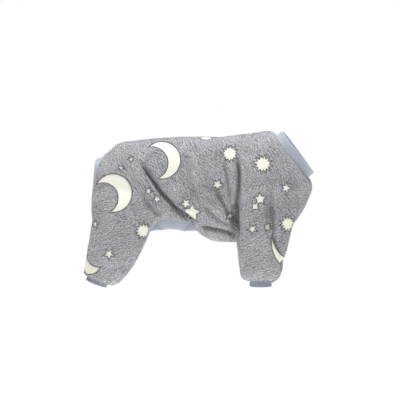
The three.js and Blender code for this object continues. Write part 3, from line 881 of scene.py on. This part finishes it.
def band_profile(v, height, hidden):
    """A band's profile, up its outside, round its rolled rim and back down: how far along and how far in."""
    rim = RIB_WALL / 2
    straight = hidden + height - rim
    total = 2 * straight + math.pi * rim
    s = v * total
    if s < straight:
        return s - hidden, 0.0
    if s < straight + math.pi * rim:
        turn = (s - straight) / rim
        return straight - hidden + math.sin(turn) * rim, rim * (1 - math.cos(turn))
    return straight - hidden - (s - straight - math.pi * rim), RIB_WALL


def rib_band(end, material):
    """A rib-knit band round the neck or a foot."""
    mean = (end["half_up"] + end["half_wide"]) / 2
    ribs = round(2 * math.pi * mean / RIB_PITCH)

    def place(u, v):
        along, inward = band_profile(v, end["height"], BAND_TUCK)
        way = max(0, along / end["height"])
        share = BAND_TUCK_SHARE + (end["rim"] - BAND_TUCK_SHARE) * way
        sag = BAND_SAG * math.sin(math.pi * min(1, way))
        depth = inward + RIB_DEPTH * (1 - rib_wave(u, ribs)) * (1 if inward < RIB_WALL / 2 else -1) + sag
        half_up, half_wide = (end[half] * share - depth for half in ("half_up", "half_wide"))
        centre = end["centre"] + end["out"] * along
        return oval_point(centre, end["up"], half_up, half_wide, 2 * math.pi * u, end["square"])

    return knitted(rolled_sheet(ribs * COLUMNS_PER_RIB, BAND_ROWS, place), end["name"] + "_knit", material)


def closed(points):
    return np.vstack([points, points[:1]])


def resampled(points, count):
    """A closed loop's points at even steps."""
    before = way_along(closed(points))
    at = np.linspace(0, before[-1], count, endpoint=False)
    return np.stack([np.interp(at, before, values) for values in closed(points).T], axis=1)


def loop_smoothed(values, reach):
    """A closed loop's values without waves shorter than about a reach, in steps of the loop."""
    waves = np.fft.rfftfreq(len(values))
    kept = np.exp(-2 * (np.pi * waves * reach) ** 2)
    return np.fft.irfft(np.fft.rfft(values, axis=0) * kept[:, None], len(values), axis=0)


def binding(points, normals, material):
    """The rib strip round the belly and rump opening, from under the fleece's edge."""
    ribs = round(way_along(closed(points))[-1] / MM / RIB_PITCH)
    columns = ribs * COLUMNS_PER_BINDING_RIB
    both = loop_smoothed(resampled(np.hstack([points, normals]), columns), EDGE_EVEN)
    at, out = both[:, :3], unit(both[:, 3:])
    along = unit(loop_smoothed(np.roll(at, -1, axis=0) - np.roll(at, 1, axis=0), EDGE_EVEN))
    away = np.cross(along, out)
    away *= -np.sign((at[:, 1] * away[:, 1]).sum())  # towards the middle
    x, side, z = at[:, 0] / MM, np.sign(at[:, 1]), at[:, 2] / MM
    belly = smooth_step(*BELLY_REAR, x) * smooth_step(*BELLY_FRONT, x)
    hanging = np.stack([0 * side, -0.12 * side, 0 * side - 1], axis=1)
    away += (hanging - away) * belly[:, None]
    rump = smooth_step(*RUMP_RISE, z) * smooth_step(*RUMP_REAR, x)
    high = smooth_step(*TAIL_RISE, z)
    across = np.stack([-0.35 - 0.75 * high, -side * (1 - 0.45 * high), 0 * high], axis=1)
    away += (unit(across) - away) * rump[:, None]
    away = loop_smoothed(away, TURN_EVEN)
    away = unit(away - (away * along).sum(axis=1)[:, None] * along)
    inward = np.cross(along, away)
    inward *= -np.sign((inward * out).sum())
    low = at + away * BINDING_WIDTH * MM
    hem = np.interp(low[:, 0] / MM, *np.transpose(BELLY_HEM)) * MM
    fall = np.clip((at[:, 2] - hem) / np.maximum(at[:, 2] - low[:, 2], MM), *FALL_LIMITS)
    fall = 1 + (fall - 1) * belly - 0.5 * smooth_step(*FRONT_NARROWS, x)
    fall = loop_smoothed(fall[:, None], FALL_EVEN)[:, 0]

    def place(u, v):
        i = int(round(u * columns)) % columns
        s, depth = band_profile(v, BINDING_WIDTH, BINDING_TUCK)
        ridge = RIB_DEPTH * (1 - rib_wave(u, ribs)) * (1 if depth < RIB_WALL / 2 else -1)
        depth += ridge + BINDING_BENEATH + BINDING_CURL * max(0, s) ** 2
        s *= fall[i] if s > 0 else 1
        return Vector(at[i] + away[i] * s * MM + inward[i] * depth * MM)

    return knitted(rolled_sheet(columns, BINDING_ROWS, place), "opening_binding_knit", material)


# Materials.
def set_values(node, values):
    """Sets a node's plain values, by the names of their sockets."""
    for label, value in values.items():
        node.inputs[label].default_value = value


class Nodes:
    """Short names for making nodes in a tree."""

    def __init__(self, tree):
        self.tree = tree

    def add(self, kind, **values):
        node = self.tree.nodes.new(kind)
        for name, value in values.items():
            setattr(node, name, value)
        return node

    def join(self, source, target):
        self.tree.links.new(source, target)

    def put(self, value, socket):
        if isinstance(value, bpy.types.NodeSocket):
            self.join(value, socket)
        else:
            socket.default_value = value

    def math(self, operation, a, b=None, c=None, clamp=False):
        node = self.add("ShaderNodeMath", operation=operation, use_clamp=clamp)
        for value, socket in zip((a, b, c), node.inputs):
            if value is not None:
                self.put(value, socket)
        return node.outputs[0]

    def vectors(self, operation, a, b, output):
        node = self.add("ShaderNodeVectorMath", operation=operation)
        self.put(a, node.inputs[0])
        self.put(b, node.inputs[1])
        return node.outputs[output]

    def times(self, a, b):
        return self.math("MULTIPLY", a, b)

    def plus(self, a, b):
        return self.math("ADD", a, b)

    def less(self, a, b):
        return self.math("SUBTRACT", a, b)

    def ranged(self, value, low, high, to_low=0.0, to_high=1.0):
        node = self.add("ShaderNodeMapRange", clamp=True)
        names = ("Value", "From Min", "From Max", "To Min", "To Max")
        for item, name in zip((value, low, high, to_low, to_high), names):
            self.put(item, node.inputs[name])
        return node.outputs[0]

    def noise(self, vector, scale, detail=2, roughness=0.5):
        node = self.add("ShaderNodeTexNoise")
        self.join(vector, node.inputs["Vector"])
        set_values(node, {"Scale": scale, "Detail": detail, "Roughness": roughness})
        return node.outputs["Fac"]

    def mix(self, share, a, b):
        node = self.add("ShaderNodeMix", data_type="RGBA")
        self.put(share, node.inputs[0])
        self.put(a, node.inputs[6])
        self.put(b, node.inputs[7])
        return node.outputs[2]


def node_group(name, inputs, outputs):
    """An empty shader group with its sockets: name to socket type and default value."""
    group = bpy.data.node_groups.new(name, "ShaderNodeTree")
    for label, (kind, value) in inputs.items():
        socket = group.interface.new_socket(label, in_out="INPUT", socket_type=kind)
        if value is not None:
            socket.default_value = value
    for label, kind in outputs.items():
        group.interface.new_socket(label, in_out="OUTPUT", socket_type=kind)
    nodes = Nodes(group)
    return group, nodes, nodes.add("NodeGroupInput").outputs, nodes.add("NodeGroupOutput").inputs


VECTOR, NUMBER, COLOUR = "NodeSocketVector", "NodeSocketFloat", "NodeSocketColor"


def distance_to(nodes, x, y, at_x, at_y):
    across, over = nodes.less(x, at_x), nodes.less(y, at_y)
    return nodes.math("SQRT", nodes.plus(nodes.times(across, across), nodes.times(over, over)))


def motif_group(name, value_of, own_sockets):
    """A group for one kind of motif, where value_of is under 0 within it. Its radius grows where the cloth curves
    away. Fill is the motif's cream face. The other output is painted shade: a thin dark line round the motif, where
    the pile stands over its edge."""
    sockets = {label: (VECTOR, None) for label in ("Vector", "Centre", "Right", "Up", "Out")}
    sockets.update({"Edge": (NUMBER, 0.05), "Ragged": (NUMBER, 0)})
    sockets.update({label: (NUMBER, value) for label, value in own_sockets.items()})
    group, nodes, given, wanted = node_group(name, sockets, {"Fill": NUMBER, "Rim Shade": NUMBER})
    away = nodes.vectors("SUBTRACT", given["Vector"], given["Centre"], "Vector")
    x, y, out = (nodes.vectors("DOT_PRODUCT", away, given[axis], "Value") for axis in ("Right", "Up", "Out"))
    depth = nodes.math("ABSOLUTE", out)
    curved = nodes.math("MAXIMUM", nodes.math("MULTIPLY_ADD", depth, 2, -1), 0)
    radius = distance_to(nodes, distance_to(nodes, x, y, 0, 0), curved, 0, 0)
    value = nodes.math("MULTIPLY_ADD", given["Ragged"], given["Edge"], value_of(nodes, given, x, y, radius))
    soft = nodes.times(given["Edge"], 0.35)
    fill = nodes.ranged(value, nodes.times(soft, -1), soft, 1, 0)
    outer = nodes.ranged(value, given["Edge"], nodes.times(given["Edge"], 2.3), 1, 0)
    within = nodes.math("LESS_THAN", depth, 1)
    nodes.join(nodes.times(fill, within), wanted["Fill"])
    nodes.join(nodes.times(nodes.math("SUBTRACT", outer, fill, clamp=True), within), wanted["Rim Shade"])
    return group


def crescent_edge(nodes, given, x, y, radius):
    """Under 0 within the disc and outside the bite."""
    bitten = distance_to(nodes, x, y, given["Bite Across"], given["Bite Over"])
    return nodes.math("MAXIMUM", nodes.less(radius, 1), nodes.less(given["Bite Size"], bitten))


def star_edge(nodes, given, x, y, radius):
    """Under 0 within the star, worked out as in star_value."""
    half_turn = nodes.math("DIVIDE", math.pi, given["Points"])
    angle = nodes.plus(nodes.math("ARCTAN2", y, x), given["Turn"])
    folded = nodes.math("PINGPONG", nodes.plus(angle, 8 * math.pi), half_turn)
    across, over = (nodes.times(radius, nodes.math(part, folded)) for part in ("COSINE", "SINE"))
    waist_x, waist_y = (nodes.times(given["Waist"], nodes.math(part, half_turn)) for part in ("COSINE", "SINE"))
    tip_side = nodes.times(nodes.less(across, 1), waist_y)
    waist_side = nodes.times(over, nodes.less(1, waist_x))
    reach = distance_to(nodes, 1, 0, waist_x, waist_y)
    return nodes.math("DIVIDE", nodes.plus(tip_side, waist_side), reach)


def pile_group():
    """The look of short plush pile: its colour and height, in wavering rows across a turn."""
    sockets = {"Vector": (VECTOR, None), "Turn": (VECTOR, None)}
    sockets.update({"Dark": (COLOUR, FLEECE_DARK), "Light": (COLOUR, FLEECE_LIGHT)})
    group, nodes, given, wanted = node_group("plush_pile", sockets, {"Color": COLOUR, "Height": NUMBER})
    turned = nodes.add("ShaderNodeMapping")
    nodes.join(given["Vector"], turned.inputs["Vector"])
    nodes.join(given["Turn"], turned.inputs["Rotation"])
    rows = nodes.add("ShaderNodeTexWave", wave_type="BANDS", bands_direction="X")
    nodes.join(turned.outputs[0], rows.inputs["Vector"])
    set_values(rows, {"Scale": WAVE_UNIT / (PILE_ROW * MM), **ROW_WAVER})
    crumbs = nodes.noise(given["Vector"], CRUMB_SCALE, 2, 0.6)
    strands = nodes.noise(given["Vector"], STRAND_SCALE, 2, 0.6)
    brushed = nodes.noise(given["Vector"], BRUSH_SCALE)
    height = nodes.plus(nodes.times(rows.outputs["Fac"], ROW_SHARE), nodes.times(crumbs, CRUMB_SHARE))
    height = nodes.plus(height, nodes.times(strands, STRAND_SHARE))
    tone = nodes.plus(nodes.times(height, 1 - BRUSH_SHARE), nodes.times(brushed, BRUSH_SHARE))
    share = nodes.ranged(tone, *PILE_TONES)
    nodes.join(nodes.mix(share, given["Dark"], given["Light"]), wanted["Color"])
    nodes.join(height, wanted["Height"])
    return group


def knit_group():
    """The look of fine rib knit: its colour and height."""
    sockets = {"Vector": (VECTOR, None), "Dark": (COLOUR, RIB_SHADE), "Light": (COLOUR, RIB_BLUE)}
    group, nodes, given, wanted = node_group("rib_knit", sockets, {"Color": COLOUR, "Height": NUMBER})
    loops = nodes.noise(given["Vector"], KNIT_LOOP_SCALE)
    wear = nodes.noise(given["Vector"], KNIT_WEAR_SCALE)
    tone = nodes.plus(nodes.times(loops, KNIT_LOOP_SHARE), nodes.times(wear, 1 - KNIT_LOOP_SHARE))
    share = nodes.ranged(tone, *KNIT_TONES)
    nodes.join(nodes.mix(share, given["Dark"], given["Light"]), wanted["Color"])
    nodes.join(loops, wanted["Height"])
    return group


def new_material(name):
    material = bpy.data.materials.new(name)
    material.use_nodes = True
    nodes = Nodes(material.node_tree)
    shader = next(n for n in material.node_tree.nodes if n.type == "BSDF_PRINCIPLED")
    place = nodes.add("ShaderNodeTexCoord").outputs["Object"]
    return material, nodes, shader, place


def use_group(nodes, group, vector, values):
    node = nodes.add("ShaderNodeGroup", node_tree=group)
    nodes.join(vector, node.inputs["Vector"])
    set_values(node, values)
    return node


def bump(nodes, height, strength, distance, shader):
    node = nodes.add("ShaderNodeBump")
    set_values(node, {"Strength": strength, "Distance": distance * MM})
    nodes.join(height, node.inputs["Height"])
    nodes.join(node.outputs[0], shader.inputs["Normal"])


def cloth_material(name, group, strength, distance, sheen, **settings):
    """A cloth in one look, without motifs."""
    material, nodes, shader, place = new_material(name)
    look = use_group(nodes, group, place, settings)
    nodes.join(look.outputs["Color"], shader.inputs["Base Color"])
    bump(nodes, look.outputs["Height"], strength, distance, shader)
    set_values(shader, {"Roughness": 0.92, "Sheen Weight": sheen, "Sheen Roughness": 0.5, "Specular IOR Level": 0.2})
    return material


def printed_fleece(name, turn, motifs, pile, stars, crescents):
    """Plush fleece with the motifs that lie on one piece, pressed flat into the pile."""
    material, nodes, shader, place = new_material(name)
    look = use_group(nodes, pile, place, {"Turn": turn})
    fill, rim = 0.0, 0.0
    uneven = nodes.noise(place, RAGGED_SCALE, 1)
    ragged_star = nodes.ranged(uneven, *UNEVEN, -0.8, 0.8)
    ragged_crescent = nodes.ranged(uneven, *UNEVEN, -0.25, 0.25)
    for motif in motifs:
        values = {label: motif[label.lower()] for label in ("Centre", "Right", "Up", "Out")}
        values["Edge"] = MOTIF_EDGE * MM * motif["right"].length
        if "bite" in motif:
            across, over, size = (length / motif["size"] for length in (*motif["bite"], motif["bite_size"]))
            values.update({"Bite Across": across, "Bite Over": over, "Bite Size": size})
            node = use_group(nodes, crescents, place, values)
            nodes.join(ragged_crescent, node.inputs["Ragged"])
        else:
            turned = math.radians(motif["turn"])
            values.update({"Points": motif["points"], "Waist": motif["waist"], "Turn": turned})
            node = use_group(nodes, stars, place, values)
            nodes.join(ragged_star, node.inputs["Ragged"])
        fill = nodes.math("MAXIMUM", fill, node.outputs["Fill"])
        rim = nodes.math("MAXIMUM", rim, node.outputs["Rim Shade"])
    # Painted shade: a thin dark line round each motif darkens the pile's colour.
    shaded = nodes.mix(nodes.times(rim, 0.95), look.outputs["Color"], MOTIF_RIM_SHADE)
    face = nodes.mix(nodes.ranged(nodes.noise(place, FACE_SCALE), *UNEVEN, 0, 0.25), CREAM, CREAM_SHADE)
    nodes.join(nodes.mix(fill, shaded, face), shader.inputs["Base Color"])
    height = nodes.times(look.outputs["Height"], nodes.less(1.0, nodes.times(fill, 0.85)))
    bump(nodes, nodes.less(height, nodes.times(fill, 0.5)), 0.75, 1.6, shader)
    set_values(shader, {"Roughness": 0.95, "Sheen Weight": 0.25, "Sheen Roughness": 0.5, "Specular IOR Level": 0.15})
    return material


# Studio.
def floor():
    bm = bmesh.new()
    bmesh.ops.create_circle(bm, cap_ends=True, segments=64, radius=FLOOR_RADIUS)
    for vert in bm.verts:
        vert.co.z = FLOOR_HEIGHT
    obj = object_of(bm, "floor")
    material, nodes, shader, place = new_material("pale_floor")
    white = {"Base Color": (0.92, 0.92, 0.92, 1), "Emission Color": (1, 1, 1, 1)}
    set_values(shader, {**white, "Emission Strength": FLOOR_GLOW, "Roughness": 0.9})
    obj.data.materials.append(material)


def area_light(name, place, size, power):
    data = bpy.data.lights.new(name, "AREA")
    data.energy = power
    data.size = size
    obj = linked(name, data)
    obj.location = Vector(place)
    obj.rotation_euler = (AIM - obj.location).to_track_quat("-Z", "Y").to_euler()


def studio():
    floor()
    for light in LIGHTS:
        area_light(**light)
    world = bpy.data.worlds.new("studio")
    world.use_nodes = True
    background = next(n for n in world.node_tree.nodes if n.type == "BACKGROUND")
    set_values(background, {"Color": (1, 1, 1, 1)})
    nodes = Nodes(world.node_tree)
    seen = nodes.add("ShaderNodeLightPath").outputs["Is Camera Ray"]
    nodes.join(nodes.ranged(seen, 0.0, 1.0, WORLD_LIGHT, 1.0), background.inputs["Strength"])
    bpy.context.scene.world = world
    bpy.context.scene.view_settings.view_transform = "Standard"
    data = bpy.data.cameras.new("photo_camera")
    data.lens, data.sensor_width = LENS, SENSOR
    camera = linked("photo_camera", data)
    camera.location = EYE
    camera.rotation_euler = (-BACK).to_track_quat("-Z", "Y").to_euler()
    bpy.context.scene.camera = camera


def show(obj, slot, *nodes):
    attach(obj, "root")
    if nodes:
        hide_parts(*nodes)


def fleece_solids():
    """The filled body and legs, and the folds that droop from the chest."""
    solids = [filled_loft(BODY_SECTIONS, body_section, BODY_SQUARE, *BODY_LOFT)]
    for leg in LEGS:
        solids.append(filled_loft(leg["rows"], partial(leg_section, leg), LEG_SQUARE, *LEG_LOFT))
    for side in (-1, 1):
        solids.append(filled_loft(CHEST_DROOP_SECTIONS, partial(droop_section, side), LEG_SQUARE, *DROOP_LOFT))
    return solids


def main():
    studio()
    skin = fused_skin(fleece_solids())
    crease(skin)
    tree = BVHTree.FromPolygons(positions(skin).tolist(), [tuple(p.vertices) for p in skin.polygons])
    motifs = placed_motifs(tree)
    points, normals = positions(skin), normals_of(skin)
    set_positions(skin, points - normals * (motifs_mask(motifs, points) * MOTIF_RECESS * MM)[:, None])
    ends = end_frames()
    cut_open(skin, ends)
    edge, edge_normals = opening_loop(skin)

    pile = pile_group()
    stars = motif_group("star_motif", star_edge, {"Points": 5, "Waist": 0.5, "Turn": 0})
    bite = {"Bite Across": 0.5, "Bite Over": 0, "Bite Size": 0.9}
    crescents = motif_group("crescent_motif", crescent_edge, bite)
    backing = cloth_material("fleece_backing", pile, 0.3, 0.4, 0.1)
    tufts = [cloth_material("body_tufts", pile, 0.2, 0.3, 0.3, Turn=BODY_TURN)]
    tufts += [cloth_material("leg_tufts", pile, 0.2, 0.3, 0.3, Turn=LEG_TURN)] * len(LEGS)
    knit_look = knit_group()
    knit = cloth_material("rib_knit", knit_look, 0.35, 0.4, 0.2)
    # Painted shade: a darker copy of the rib knit for the cuffs, under the fleece's overhang.
    shaded_cuff_knit = cloth_material("cuff_rib_knit_painted_shade", knit_look, 0.35, 0.4, 0.2, Light=SHADED_CUFF_BLUE, Dark=SHADED_CUFF_DARK)
    centres = read(skin.polygons, "center").astype(float)
    owner = nearest_node(centres, FLEECE_NODES)
    for index, name in enumerate(FLEECE_NODES):
        mine = centres[owner == index]
        own_motifs = [motif for motif in motifs if motif_mask(motif, mine).any()]
        turn = LEG_TURN if index else BODY_TURN
        fleece = printed_fleece(name + "_fleece", turn, own_motifs, pile, stars, crescents)
        show(fleece_piece(skin, owner, index, name + "_cloth", [fleece, backing]), "fleece", name)
        show(pile_piece(skin, owner, index, name + "_pile", own_motifs, tufts[index], index), "fleece")
    for end in ends:
        show(rib_band(end, knit if end is ends[0] else shaded_cuff_knit), "rib_knit", end["name"])
    show(binding(edge, edge_normals, knit), "rib_knit", "opening_binding")
    bpy.data.meshes.remove(skin)


main()
bpy.context.view_layer.update()
